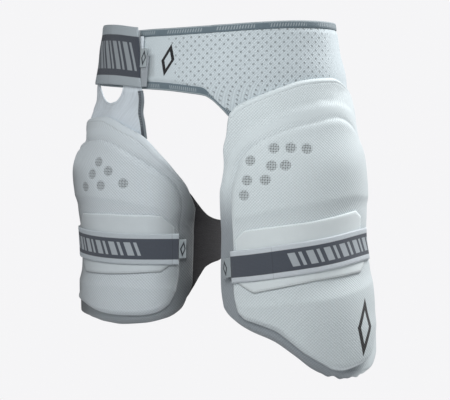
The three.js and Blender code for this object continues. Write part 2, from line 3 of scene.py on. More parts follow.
import bmesh
import bpy
import numpy as np
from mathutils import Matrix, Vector


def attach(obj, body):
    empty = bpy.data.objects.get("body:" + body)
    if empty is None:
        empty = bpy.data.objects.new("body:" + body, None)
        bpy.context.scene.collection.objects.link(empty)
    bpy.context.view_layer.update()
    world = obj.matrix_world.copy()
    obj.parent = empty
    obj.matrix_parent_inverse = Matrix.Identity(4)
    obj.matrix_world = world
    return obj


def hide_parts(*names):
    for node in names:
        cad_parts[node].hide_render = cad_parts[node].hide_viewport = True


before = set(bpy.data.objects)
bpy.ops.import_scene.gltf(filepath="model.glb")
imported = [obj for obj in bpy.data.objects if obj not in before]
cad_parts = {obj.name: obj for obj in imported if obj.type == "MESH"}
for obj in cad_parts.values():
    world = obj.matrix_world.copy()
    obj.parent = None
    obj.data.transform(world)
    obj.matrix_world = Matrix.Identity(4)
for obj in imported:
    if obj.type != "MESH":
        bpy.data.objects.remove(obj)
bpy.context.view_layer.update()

# THE CAMERA
# The photograph is taken level with the thighs, a little to the wearer's left of straight ahead, and
# turned slightly. Everything else in this file is in millimetres until a mesh is made.
view_turn = math.radians(25)
view_height = math.radians(1)
view_roll = math.radians(-1.8)
view_distance = 2.0
view_target = Vector((0.0012, 0.0005, -0.185))

back = Vector((
    math.sin(view_turn) * math.cos(view_height),
    -math.cos(view_turn) * math.cos(view_height),
    math.sin(view_height),
))
right = Vector((math.cos(view_turn), math.sin(view_turn), 0))
up = back.cross(right)
right, up = (
    right * math.cos(view_roll) + up * math.sin(view_roll),
    up * math.cos(view_roll) - right * math.sin(view_roll),
)
camera = bpy.data.objects.new("camera", bpy.data.cameras.new("camera"))
camera.data.lens = 123.08
camera.data.sensor_width = 36
camera.matrix_world = (
    (right.x, up.x, back.x, 0),
    (right.y, up.y, back.y, 0),
    (right.z, up.z, back.z, 0),
    (0, 0, 0, 1),
)
camera.matrix_world.transpose()
camera.location = view_target + back * view_distance
bpy.context.collection.objects.link(camera)
bpy.context.scene.camera = camera

# THE BELT
# A band of mesh cloth over soft foam, perforated in a diamond pattern, that goes round the front and
# the lead hip. Below the hip it widens into a yoke that the outer guard is sewn on. It is cut flat and
# bent round the waist, so it is modelled as a thin closed sheet on the body's form.


def smooth(*rows):
    """Smooth functions of a table's first column, one through each other column, flat past both ends."""
    at, *columns = np.array(rows, float).T
    step = np.diff(at)

    def curve(to):
        rise = np.diff(to) / step
        slope = np.concatenate((rise[:1], np.zeros(len(rise) - 1), rise[-1:]))
        for i in range(1, len(rise)):
            if rise[i - 1] * rise[i] > 0:
                slope[i] = 2 * rise[i - 1] * rise[i] / (rise[i - 1] + rise[i])

        def read(x):
            inside = np.clip(x, at[0], at[-1])
            i = np.clip(np.searchsorted(at, inside, side="right") - 1, 0, len(step) - 1)
            t = (inside - at[i]) / step[i]
            bend = (1 - t) * (slope[i] - rise[i]) * (1 - t) + (rise[i] - slope[i + 1]) * t * (1 - t)
            return to[i] + (to[i + 1] - to[i]) * t + bend * t * step[i]

        return read

    return [curve(to) for to in columns]


waist_half_width, waist_half_depth = 157, 100
thigh_half_width, thigh_half_depth = 80, 82
thigh_spread = 97
form_drop = 440


class Form:
    """The body from the waist down one thigh: a stack of ellipses. A turn goes round it in degrees, from
    0 at the front to 90 on the +X side, and a lift is how far a face stands off it."""

    def __init__(self, side, curves):
        self.side = side
        self.spread, self.waist, self.swell = curves

    def section(self, height):
        drop = -np.asarray(height, float) / form_drop
        waist, swell = self.waist(drop), self.swell(drop)
        return (
            self.side * self.spread(drop) * thigh_spread,
            (thigh_half_width + (waist_half_width - thigh_half_width) * waist) * swell,
            (thigh_half_depth + (waist_half_depth - thigh_half_depth) * waist) * swell,
        )

    def point(self, turn, height, lift):
        centre, wide, deep = self.section(height)
        angle = np.radians(turn)
        x = centre + (wide + lift) * np.sin(angle)
        y = -(deep + lift) * np.cos(angle)
        return np.stack(np.broadcast_arrays(x, y, np.asarray(height, float)), -1)

    def place(self, points):
        """The turn and lift of points."""
        centre, wide, deep = self.section(points[:, 2])
        lift = np.zeros(len(points))
        for _ in range(6):
            turn = np.arctan2((points[:, 0] - centre) / (wide + lift), -points[:, 1] / (deep + lift))
            rim = np.hypot(wide * np.sin(turn), deep * np.cos(turn))
            out = np.hypot(points[:, 0] - centre, points[:, 1])
            lift = out - rim
        return np.degrees(turn), lift

    def girth(self, turn, height, lift=12.0):
        """Millimetres round the form from its front."""
        _, wide, deep = self.section(height)
        angle = np.radians(turn)
        steps = 12
        total = 0
        for i in range(steps):
            a = angle * (i + 0.5) / steps
            total = total + np.hypot((wide + lift) * np.cos(a), (deep + lift) * np.sin(a))
        return total * angle / steps

    def unroll(self, turn, height):
        """Places on the form as points a little off it, and as flat girths and heights."""
        solid = self.point(turn, height, 12).reshape(-1, 3)
        return solid, np.stack((self.girth(turn, height), height), -1).reshape(-1, 2)


lead_form = Form(1, smooth(
    # drop, spread, waist, swell
    (-0.14, 0, 1, 0.955), (0, 0, 1, 1), (0.09, 0, 1, 1.045), (0.17, 0.22, 0.86, 1.015),
    (0.25, 0.515, 0.54, 1), (0.34, 0.78, 0.22, 1.01), (0.455, 0.866, 0.05, 1.02),
    (0.545, 0.9, 0, 1.01), (0.625, 0.93, 0, 1.035), (0.705, 0.955, 0, 1.06), (0.82, 0.99, 0, 1.04),
    (1, 1.03, 0, 1),
))


def evenly(start, stop, step):
    return np.linspace(start, stop, max(2, round(abs(stop - start) / step) + 1))


def blend(low, high, x):
    """0 on the far side of low, 1 on the far side of high, and smooth between."""
    t = np.clip((x - low) / (high - low), 0, 1)
    return t * t * (3 - 2 * t)


def make_piece(name, points, faces, finish):
    """A mesh object from points in millimetres, riding on the frame."""
    mesh = bpy.data.meshes.new(name)
    mesh.from_pydata((points / 1000).tolist(), [], faces.tolist() if hasattr(faces, "tolist") else faces)
    mesh.polygons.foreach_set("use_smooth", [True] * len(mesh.polygons))
    work = bmesh.new()
    work.from_mesh(mesh)
    bmesh.ops.recalc_face_normals(work, faces=work.faces)
    work.to_mesh(mesh)
    work.free()
    piece = bpy.data.objects.new(name, mesh)
    bpy.context.collection.objects.link(piece)
    mesh.materials.append(finish.material)
    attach(piece, "root")
    return piece


def mark(piece, name, *columns):
    """Writes up to three values for each vertex, for the finishes to read. Those of a sheet's face also
    serve its back."""
    values = np.zeros((len(piece.data.vertices), 3))
    for i, column in enumerate(columns):
        values[:, i] = np.resize(column, len(values))
    layer = piece.data.attributes.new(name, "FLOAT_VECTOR", "POINT")
    layer.data.foreach_set("vector", values.ravel())


def vertices(piece):
    """The points of a piece, in millimetres."""
    flat = np.empty(len(piece.data.vertices) * 3)
    piece.data.vertices.foreach_get("co", flat)
    return flat.reshape(-1, 3) * 1000


def make_sheet(name, form, turn, height, face, back, finish):
    """A closed sheet, from a grid of turns and heights and the lifts of its two sides."""
    down, across = turn.shape
    points = np.concatenate([form.point(turn, height, lift).reshape(-1, 3) for lift in (face, back)])
    cell = (np.arange(down - 1)[:, None] * across + np.arange(across - 1)).ravel()
    front = np.stack((cell, cell + across, cell + across + 1, cell + 1), -1)
    far = front[:, ::-1] + down * across
    rim = np.concatenate((
        np.arange(across),
        np.arange(2, down + 1) * across - 1,
        (down - 1) * across + np.arange(across - 2, -1, -1),
        np.arange(down - 2, 0, -1) * across,
    ))
    after = np.roll(rim, -1)
    edge = np.stack((rim, after, after + down * across, rim + down * across), -1)
    return make_piece(name, points, np.concatenate((front, far, edge)), finish)


class Wire:
    """A value in a finish's nodes, so that shader maths reads as Python."""

    def __init__(self, finish, socket):
        self.finish, self.socket = finish, socket

    def math(self, operation, *values):
        inputs = dict(enumerate((self, *values)))
        return self.finish.node("ShaderNodeMath", {"operation": operation}, inputs)

    def __add__(self, other): return self.math("ADD", other)
    def __radd__(self, other): return self.math("ADD", other)
    def __sub__(self, other): return self.math("SUBTRACT", other)
    def __rsub__(self, other): return (self * -1) + other
    def __mul__(self, other): return self.math("MULTIPLY", other)
    def __rmul__(self, other): return self.math("MULTIPLY", other)
    def __truediv__(self, other): return self.math("DIVIDE", other)
    def __mod__(self, other): return self.math("FLOORED_MODULO", other)
    def __abs__(self): return self.math("ABSOLUTE")

    def wave(self): return self.math("SINE")
    def power(self, other): return self.math("POWER", other)
    def most(self, other): return self.math("MAXIMUM", other)

    def between(self, low, high):
        """0 below low, 1 above high, and smooth between."""
        settings = {"interpolation_type": "SMOOTHSTEP"}
        inputs = {0: self, 1: low, 2: high, 3: 0, 4: 1}
        return self.finish.node("ShaderNodeMapRange", settings, inputs)


class Finish:
    """A material of cloth or tape. Its sheen and the like are the same all over and are set directly."""

    def __init__(self, name, roughness=0.85, sheen=0.25):
        self.material = bpy.data.materials.new(name)
        self.material.use_nodes = True
        self.tree = self.material.node_tree
        self.shader = next(n for n in self.tree.nodes if n.type == "BSDF_PRINCIPLED")
        self.shader.inputs["Roughness"].default_value = roughness
        self.shader.inputs["Sheen Weight"].default_value = sheen
        self.shader.inputs["Sheen Roughness"].default_value = 0.6
        self.shader.inputs["Specular IOR Level"].default_value = 0.3

    def join(self, value, socket):
        if isinstance(value, Wire):
            self.tree.links.new(value.socket, socket)
        else:
            socket.default_value = value

    def node(self, kind, settings=None, inputs=None, output=0):
        made = self.tree.nodes.new(kind)
        for key, value in (settings or {}).items():
            setattr(made, key, value)
        for key, value in (inputs or {}).items():
            self.join(value, made.inputs[key])
        return Wire(self, made.outputs[output])

    def marks(self, name):
        """The three values that a piece's vertices carry under a name."""
        found = self.node("ShaderNodeAttribute", {"attribute_name": name}, output="Vector")
        split = self.node("ShaderNodeSeparateXYZ", inputs={0: found}).socket.node
        return [Wire(self, socket) for socket in split.outputs]

    def noise(self, across, down, size):
        """Cloudy noise from 0 to 1, with features about size millimetres wide."""
        where = self.node("ShaderNodeCombineXYZ", inputs={0: across, 1: down})
        inputs = {"Vector": where, "Scale": 1 / size, "Detail": 3}
        return self.node("ShaderNodeTexNoise", inputs=inputs)

    def mix(self, factor, low, high):
        """Blends two colours."""
        settings = {"data_type": "RGBA"}
        return self.node("ShaderNodeMix", settings, {0: factor, 6: low, 7: high}, output=2)

    def shade(self, colour, factor):
        """Multiplies a colour by a value."""
        grey = self.node("ShaderNodeCombineColor", inputs={0: factor, 1: factor, 2: factor})
        settings = {"data_type": "RGBA", "blend_type": "MULTIPLY"}
        return self.node("ShaderNodeMix", settings, {0: 1.0, 6: colour, 7: grey}, output=2)

    def finish(self, colour, relief, depth):
        """Joins the colour and the relief, whose full range is depth millimetres."""
        self.join(colour, self.shader.inputs["Base Color"])
        inputs = {"Height": relief, "Distance": depth / 1000, "Strength": 1.0}
        bump = self.node("ShaderNodeBump", inputs=inputs)
        self.join(bump, self.shader.inputs["Normal"])
        return self


def srgb(red, green, blue):
    """A colour as the eye names it, turned to light."""
    shares = (red / 255, green / 255, blue / 255)
    return tuple(((c + 0.055) / 1.055) ** 2.4 if c > 0.04 else c / 12.92 for c in shares) + (1,)


belt_height = 75
belt_thickness, back_pinch, face_pinch = 5, 0.8, 1.6
belt_top, belt_foot = smooth(
    # turn, top, foot
    (-78, 0.44, -0.36), (-50, 0.44, -0.43), (-18, 0.43, -0.547), (-9, 0.42, -0.587),
    (2, 0.415, -0.66), (8, 0.415, -0.712), (10, 0.415, -0.79), (11.2, 0.415, -0.93),
    (12.3, 0.415, -1.07), (15, 0.42, -1.16), (19, 0.42, -1.22), (30, 0.43, -1.27),
    (60, 0.45, -1.17), (108, 0.45, -1.12), (124, 0.45, -0.85), (140, 0.45, -0.5),
)
belt_start, belt_cut, belt_end = -78, 13.5, 140

belt_finish = Finish("belt_mesh_cloth")
across, down, edge = belt_finish.marks("cloth")
yarn = 2 * math.pi / 3.9
hatch = ((across - down) * yarn).wave() * 0.7 + ((across + down) * yarn).wave() * 0.3
hole_pitch = 10.6
emblem_black = srgb(18, 19, 22)
row = down * (2 / hole_pitch)
shift = ((row - row % 1) % 2) * (hole_pitch / 2)
from_hole_x = abs((across + shift) % hole_pitch - hole_pitch / 2)
from_hole_y = abs(down % (hole_pitch / 2) - hole_pitch / 4)
hole_distance = (from_hole_x * from_hole_x + from_hole_y * from_hole_y).power(0.5)
patchy = belt_finish.noise(across, down, 9)
landing = (across + down * 0.22).between(-21, -13) * (1 - across.between(176, 205))
edge_fade = edge.between(4, 9)
# The perforations are painted darker: painted shade inside the holes.
shaded_hole = (1 - hole_distance.between(0.8, 1.9)) * landing * edge_fade * patchy.between(0.15, 0.5)
quilt = abs(from_hole_x + from_hole_y - hole_pitch / 4)
ridge = (1 - quilt.between(0, 1.3)) * landing * edge_fade
clouds = belt_finish.noise(across, down, 35)
# Painted shadow: a soft grey patch on the belt where the waist strap's label tab casts its shadow.
painted_tab_shadow = (1 - abs(across + 47.5).between(3, 8)) * (1 - abs(down + 13).between(11, 17))
tone = 0.93 - shaded_hole * 0.42 + ridge * 0.05 + hatch * (landing * 0.09 + 0.03)
tone = tone + clouds * 0.08 - painted_tab_shadow * 0.22
ring = abs((across + 21.9 - (down + 7.5) * 0.25) / 9.5) + abs((down + 7.5) / 20)
emblem = 1 - abs(ring - 0.77).between(0.2, 0.26)
belt_colour = belt_finish.mix(emblem, belt_finish.shade(srgb(199, 210, 215), tone), emblem_black)
belt_finish.finish(belt_colour, ridge * 0.45 + hatch * 0.35 - shaded_hole * 1.2, 0.35)

turns = np.unique(np.concatenate((evenly(belt_start, belt_end, 0.95), evenly(7, 17, 0.25))))
shares = evenly(0, 1, 1 / 52)
turn, share = np.meshgrid(turns, shares)
top_edge, foot_edge = belt_height * belt_top(turn), belt_height * belt_foot(turn)
height = top_edge + (foot_edge - top_edge) * share
from_edge = np.minimum(height - foot_edge, top_edge - height)
from_end = np.minimum(turn - belt_start, belt_end - turn) * 2.2
pinch = 1 - blend(8.5, 13, np.minimum(from_edge, from_end))
slack = np.sin(turn / 7.0 + height / 31) * np.sin(height / 17 + turn / 23)
face_lift = belt_thickness - face_pinch * pinch + 0.35 * slack * (1 - pinch)
belt = make_sheet(
    "belt_band", lead_form, turn, height, face_lift, back_pinch * pinch, belt_finish,
)
mark(belt, "cloth", lead_form.girth(turn, height, 5), height, from_edge)
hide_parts("belt")

# THE BINDINGS
# Slate tape folded over the belt's edges and over the hanger's right edge, and sewn down through both
# faces. Its woven pattern is a row of short light dashes, in groups, and its fold has a painted
# highlight.
binding_width, binding_thickness, gap = 8.5, 1.0, 0.35


def tape_finish(name, slate, light):
    finish = Finish(name, roughness=0.7)
    across, down, _ = finish.marks("cloth")
    ribs = (across * 4.2).wave() * (down * 4.2).wave()
    run = across % 64
    group = run.between(0, 1.2) * (1 - run.between(46.8, 48))
    slant = (across + down * 0.35) % 3.4
    dash = slant.between(0.4, 1) * (1 - slant.between(1.9, 2.5))
    inside = (1 - abs(down - binding_width * 0.45).between(1.9, 2.5)) * group * dash
    # Painted highlight along the tape's fold.
    pale = 1 - down.between(0.2, 1.1)
    wear_and_painted_light = finish.noise(across, down, 5)
    colour = finish.mix((inside * 0.55).most(pale * 0.6), slate, light)
    return finish.finish(finish.shade(colour, 0.9 + ribs * 0.04 + wear_and_painted_light * 0.16), ribs * 0.4, 0.15)


belt_tape = tape_finish("belt_tape", srgb(98, 114, 123), srgb(180, 190, 194))


def channel(name, node, form, path, inward, width, reach, finish, start=0, scale=1):
    """Tape folded over an edge. path is turns and heights along the edge, and reach gives the lifts of
    the cloth's two faces at each point of the path. start and scale place the woven pattern."""
    turns, heights = path
    spots = form.point(turns, heights, 0)
    along = np.gradient(spots, axis=0)
    slope = form.point(turns, heights + 1, 0) - spots
    facing = np.cross(form.point(turns + 1, heights, 0) - spots, slope)
    into = np.cross(facing, along) * inward
    into /= np.linalg.norm(into, axis=1)[:, None]
    far = gap + binding_thickness
    bow = [(width, 0.15), (width * 0.85, 1), (width * 0.5, 1.06), (width * 0.2, 1),
           (0, 0.95), (-far * 0.62, 0.6), (-far, 0)]
    outline = [(*spot, 1) for spot in bow] + [(*spot, 0) for spot in bow[-2::-1]]
    hem = [(width, 0, 0), (-gap, 0, 0), (-gap, 0, 1), (width, 0, 1)]
    rings, across_tape = [], []
    for depth, share, on_face in outline + hem:
        moved = spots + into * depth
        t, h = form.place(moved)[0], moved[:, 2]
        back_lift, face_lift = reach(t, h)
        off = gap * 0.5 + binding_thickness * share
        if (depth, share) == (-far, 0):
            lift = (back_lift + face_lift) / 2
        else:
            lift = face_lift + off if on_face else back_lift - off
        rings.append(form.point(t, h, lift))
        across_tape.append(np.full(len(turns), depth))
    rings, across_tape = np.array(rings), np.array(across_tape)
    around, length = rings.shape[:2]
    cell = (np.arange(around)[:, None] * length + np.arange(length - 1)).ravel()
    next_row = ((cell // length + 1) % around) * length + cell % length
    faces = np.stack((cell, cell + 1, next_row + 1, next_row), -1).tolist()
    ends = np.arange(around) * length
    faces += [ends.tolist(), (ends + length - 1)[::-1].tolist()]
    piece = make_piece(name, rings.reshape(-1, 3), faces, finish)
    run = np.concatenate(([0], np.cumsum(np.linalg.norm(np.diff(spots, axis=0), axis=1))))
    mark(piece, "cloth", run * scale + start, across_tape)
    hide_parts(node)


def belt_reach(turn, height):
    return np.full(len(turn), back_pinch), np.full(len(turn), belt_thickness - face_pinch)


def edge_path(edge, start, end):
    """Places every 2 mm along one of the belt's edges."""
    turns = evenly(start, end, 0.1)
    step = np.linalg.norm(np.diff(lead_form.point(turns, belt_height * edge(turns), 0), axis=0), axis=1)
    run = np.concatenate(([0], np.cumsum(step)))
    turns = np.interp(evenly(0, run[-1], 2), run, turns)
    return turns, belt_height * edge(turns)


channel(
    "belt_edge_tape_top", "belt_top_binding", lead_form, edge_path(belt_top, belt_start, belt_end), -1,
    binding_width, belt_reach, belt_tape, 36.6,
)
channel(
    "belt_edge_tape_low", "belt_lower_binding", lead_form, edge_path(belt_foot, belt_start, belt_cut), 1,
    binding_width, belt_reach, belt_tape, 38.7, 1.27,
)

# THE GUARDS
# Each guard is one moulded pad: foam under stretched diamond-mesh cloth. A bevelled border, grey partly
# in its cloth and partly with painted shade, climbs from its edge, a low hemmed collar closes its top,
# and a white shell with round vents stands on it. A cloth simulation swells it, and then its hem, its
# vents and the band under its strap are pressed in.
pad_back = belt_thickness + gap
pad_edge, pad_depth, pad_collar = 4.5, 10, 7.5
shell_depth = 7.35
shell_face = pad_back + pad_depth + shell_depth
vent_radius, leg_radius = 7, 104
strap_height, strap_thickness = 39, 1.6
outer_strap_end, inner_strap_end = -19.5, 42
patch_thickness = 1.2
press = 1.5
pressed_face = shell_face - press
strap_seat = pressed_face + gap + patch_thickness + gap


def strap_middle(level, tilt, sag):
    """The height of a thigh strap's middle line, which is a tilted ring that sags a little in front."""
    reach = (thigh_half_width + strap_seat) * math.tan(math.radians(tilt))
    turns, falls = zip(*sag)
    return lambda turn: level + reach * np.sin(np.radians(turn)) - np.interp(turn, turns, falls)


outer_middle = strap_middle(-260, 9.4, [
    (-20, 0), (-12, 0.9), (-5, 1.9), (7, 3.1), (18, 3.9), (29, 4.7),
    (42, 5.2), (52, 4.8), (62, 3.9), (75, 2), (88, 0.6), (100, 0),
])
inner_middle = strap_middle(-239, -3.9, [
    (-55, 0), (-40, 1), (-27, 1.9), (-14, 2.4), (0, 2.4), (13, 1.8), (28, 1), (50, 0),
])

trail_form = Form(-1, smooth(
    # drop, spread, waist, swell
    (-0.14, 0, 1, 0.955), (0, 0, 1, 1), (0.09, 0, 1, 1.045), (0.17, 0.33, 0.82, 1.02),
    (0.25, 0.7, 0.38, 1.01), (0.34, 0.95, 0.14, 1.035), (0.43, 0.98, 0.04, 1.035),
    (0.5, 1, 0.01, 1), (0.57, 1.01, 0, 0.99), (0.68, 1.035, 0, 1), (1, 1.06, 0, 0.99),
))


class Outline:
    """The shape of a pad or shell: its top and foot across its width, and its two sides down it."""

    def __init__(self, top, height, edges, sides):
        self.top, self.height = top, height
        self.edge_top, self.edge_foot = edges
        self.left, self.right = sides

    def place(self, u, v):
        turn = self.left(v) + (self.right(v) - self.left(v)) * u
        top = self.edge_top(u)
        return turn, self.top - self.height * (top + (self.edge_foot(u) - top) * v)

    def loop(self, form):
        """Its border: points on the form, and as flat girths and heights."""
        run = np.linspace(0, 1, 110, endpoint=False)
        u = np.concatenate((run, np.ones(110), 1 - run, np.zeros(110)))
        v = np.concatenate((np.zeros(110), run, np.ones(110), 1 - run))
        return form.unroll(*self.place(u, v))


def inside_distance(spots, loop):
    """How far spots on a form lie inside a closed loop, negative outside it."""
    solid, flat = spots
    best = np.full(len(flat), 1e9)
    odd = np.zeros(len(flat), bool)
    for a, b, start, end in zip(loop[0], np.roll(loop[0], -1, 0), loop[1], np.roll(loop[1], -1, 0)):
        side, rise = b - a, end[1] - start[1]
        if side @ side < 1e-9:
            continue
        t = np.clip(((solid - a) @ side) / (side @ side), 0, 1)
        best = np.minimum(best, np.linalg.norm(solid - a - t[:, None] * side, axis=1))
        crosses = (start[1] > flat[:, 1]) != (end[1] > flat[:, 1])
        if crosses.any():
            lean = (end[0] - start[0]) / (rise or 1)
            odd ^= crosses & (flat[:, 0] < start[0] + (flat[:, 1] - start[1]) * lean)
    return np.where(odd, best, -best)


def swell(piece, cap, frames=20):
    """Lets a pad fill like cloth over foam: pressed from inside, and moved by cap at most."""
    before = vertices(piece)
    bpy.ops.object.select_all(action="DESELECT")
    piece.select_set(True)
    bpy.context.view_layer.objects.active = piece
    cloth = piece.modifiers.new("swell", "CLOTH")
    cloth.settings.quality = 5
    cloth.settings.use_pressure = True
    cloth.settings.uniform_pressure_force = 4
    cloth.settings.effector_weights.gravity = 0
    for step in range(1, frames + 1):
        bpy.context.scene.frame_set(step)
    bpy.ops.object.modifier_apply(modifier="swell")
    bpy.context.scene.frame_set(1)
    moved = vertices(piece) - before
    length = np.maximum(np.linalg.norm(moved, axis=1), 1e-9)
    moved *= (cap * np.tanh(length / cap) / length)[:, None]
    piece.data.vertices.foreach_set("co", ((before + moved) / 1000).ravel())
    finer = piece.modifiers.new("finer", "SUBSURF")
    finer.levels = 1
    bpy.ops.object.modifier_apply(modifier="finer")
    piece.data.polygons.foreach_set("use_smooth", [True] * len(piece.data.polygons))


def crowded(count, pull=0.45):
    """Numbers from 0 to 1 that lie closer together at both ends."""
    run = np.linspace(0, 1, count)
    return run - pull * np.sin(2 * math.pi * run) / (2 * math.pi)


def pad_depth_at(edge, top_gap, foot_gap, shell, crest):
    """How far a pad stands off its back, from the distances to its edges and into its shell. Its collar
    is low, and a soft welt marks where the thick foam starts, a little outside the shell. The shell's
    crest is so far below the pad's top, and it rises more steeply further down."""
    border = np.minimum(blend(0, 17, edge) * 0.6 + blend(0, 7, edge) * 0.4, 1)
    bevel = np.maximum(border, blend(0, 9, foot_gap) * blend(0, 3, edge))
    low = pad_edge + (pad_depth - pad_edge) * bevel
    brow = pad_collar * (0.72 + 0.28 * blend(0, 4, top_gap))
    thick = np.maximum(blend(-26, -13, shell), blend(70, 110, top_gap))
    base = np.minimum(low, brow + (pad_depth + 0.6 - brow) * thick)
    rise = shell_depth * (0.45 + 0.55 * blend(crest, crest + 70, top_gap))
    return base + rise * np.sqrt(blend(-2, 6.5, shell)) - 0.5 + 0.9 * blend(5, 70, shell)


def make_guard(name, form, outline, shell_outline, crest, middle, thin, pucker, vents, nodes, finish):
    """One guard, from its outlines, the middle line of its strap and the places of its vents. thin gives
    how much its foam thins out at a turn and height, and pucker the turns where its foot is drawn up."""
    u, v = np.meshgrid(crowded(84), crowded(116))
    turn, height = outline.place(u, v)
    loop, shell_loop = outline.loop(form), shell_outline.loop(form)
    spots = form.unroll(turn, height)
    edge = np.maximum(inside_distance(spots, loop), 0).reshape(u.shape)
    shell = inside_distance(spots, shell_loop).reshape(u.shape)
    span = outline.height * (outline.edge_foot(u) - outline.edge_top(u))
    depth = pad_depth_at(edge, span * v, span * (1 - v), shell, crest)
    depth *= 1 - thin(turn, height)
    rounded = 1.5 * (1 - blend(0, 3.5, edge))
    face, back = pad_back + depth - rounded, pad_back + rounded
    piece = make_sheet(name, form, turn, height, face, back, finish)
    swell(piece, 1.8)

    points = vertices(piece)
    turn, lift = form.place(points)
    height = points[:, 2]
    spots = form.unroll(turn, height)
    edge = np.abs(inside_distance(spots, loop))
    shell = inside_distance(spots, shell_loop)
    held = 1 - blend(39, 74, np.abs(height - middle(turn) - 5))
    lift = np.minimum(lift, pressed_face - 0.15 + (1 - held) * 6)
    centres = form.point(*np.array(vents, float).T, 12)
    vent = np.min(np.linalg.norm(spots[0][:, None] - centres, axis=2), axis=1)
    on_face = blend(pad_back + 1.5, pad_back + 3.5, lift)
    top_line = np.linspace(0, 1, 200)
    top_turn, top_height = outline.place(top_line, np.zeros(200))
    top_gap = np.maximum(np.interp(turn, top_turn, top_height) - height, 0)
    pressed = -0.9 * (1 - blend(vent_radius - 2.2, vent_radius + 0.6, vent))
    pressed += 0.35 * np.exp(-((top_gap - 3.4) / 2) ** 2) - 0.45 * np.exp(-((top_gap - 7.2) / 1) ** 2)
    pressed -= 0.8 * np.exp(-((shell + 0.8) / 1.5) ** 2)
    lift += pressed * on_face
    low_edge = (1 - blend(0, 11, edge)) * blend(-100, -150, height)
    drawn = blend(pucker[0], pucker[0] + 8, turn) * blend(pucker[1], pucker[1] - 8, turn)
    waves = np.sin(np.radians(turn) * 23) + np.sin(np.radians(turn) * 37)
    height = height + low_edge * drawn * 0.75 * waves
    points = form.point(turn, height, lift)
    piece.data.vertices.foreach_set("co", (points / 1000).ravel())
    piece.data.update()
    axis = form.section(-200.0)[0]
    round_leg = np.degrees(np.arctan2(points[:, 0] - axis, -points[:, 1])) * math.radians(leg_radius)
    mark(piece, "cloth", round_leg, height, edge)
    mark(piece, "relief", shell, vent, top_gap)
    mark(piece, "side", on_face, turn)
    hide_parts(*nodes)


def paint_light_and_shade(tone, turn, height, wear_and_painted_light):
    """Paints shade on a cloth over some turns and below a height, and paints light there where an amount
    is negative.
    """
    for start, stop, amount, level in wear_and_painted_light:
        tone = tone * (1 - turn.between(start, stop) * (1 - height.between(level - 22, level)) * amount)
    return tone


def guard_finish(name, white, grey, lean, shaded_border_from_top, lit_border_turns, wear_and_painted_light, emblem=None):
    """Diamond-mesh cloth: white on the shell and collar, grey down the border, which is partly grey
    cloth and partly painted shade. lean is how the stretched mesh leans, wear_and_painted_light the
    turns over which painted shade darkens it (and painted light brightens it, where the amount is
    negative), by how much and below what height, and emblem the middle and size of a plain lozenge
    stitched on the shell."""
    finish = Finish(name, roughness=0.8)
    across, down, edge = finish.marks("cloth")
    shell, vent, top_gap = finish.marks("relief")
    on_face, turn, _ = finish.marks("side")
    rib = ((across * lean + down) * yarn).wave()
    cross_rib = ((across * -lean + down) * yarn).wave()
    in_shell = shell.between(0, 8) * turn.between(20, 60)
    weave = rib * (0.68 - in_shell * 0.35) + cross_rib * (0.32 + in_shell * 0.35)
    pinholes = (rib * cross_rib).between(-0.2, 0.35)
    in_vent = 1 - vent.between(vent_radius - 2, vent_radius + 0.4)
    stretch = finish.noise(across, down, 60)
    fleck = finish.noise(across, down, 1.1)
    # The grey border is partly grey cloth and partly painted shade on the bevel: it is grey only some
    # way below the top, and it stays white over the lit turns.
    border = (1 - shell.between(-1, 1.2)) * top_gap.between(*shaded_border_from_top)
    border = border * (1 - turn.between(*lit_border_turns))
    # Painted shade: the grey border darkens towards the pad's edge, where its rolled underside turns
    # away from the light.
    painted_edge_shade = border * (1 - edge.between(1, 7))
    colour = finish.mix(border, white, grey)
    hem = 1 - top_gap.between(6.2, 7.2)
    welt = shell.between(-17, -14) * (1 - shell.between(-9, -6)) * (1 - border)
    # The smooth hem and welt are a little brighter than the weave: painted highlight.
    plain = hem.most(welt * 0.8)
    fine = weave * (1 - plain * 0.85)
    # Painted shade in the hem's groove and along the crease at the shell's edge.
    groove_shade = (1 - abs(top_gap - 7.2).between(0.2, 0.9)) * 0.12
    groove_shade = groove_shade + (1 - abs(shell + 0.9).between(0.3, 1.6)) * 0.08
    tone = 0.95 + fine * 0.12 + stretch * 0.07 + plain * 0.04 - groove_shade - painted_edge_shade * 0.2
    # Painted shade in the vents: the vent area and its mesh openings are darkened.
    tone = tone - in_vent * (0.02 + pinholes * 0.8)
    tone = tone - (1 - fleck.between(0.2, 0.34)) * 0.03
    colour = finish.shade(colour, paint_light_and_shade(tone, turn, down, wear_and_painted_light))
    relief = fine * 0.55 - in_vent * pinholes * 0.6 + fleck * 0.15
    if emblem:
        middle, level, half_width, half_height = emblem
        above = down - level
        ring = abs((across - middle - above * 0.12) / half_width) + abs(above / half_height)
        line = (1 - abs(ring - 0.78).between(0.19, 0.24)) * on_face
        colour = finish.mix(line, colour, emblem_black)
    return finish.finish(colour, relief, 0.3)


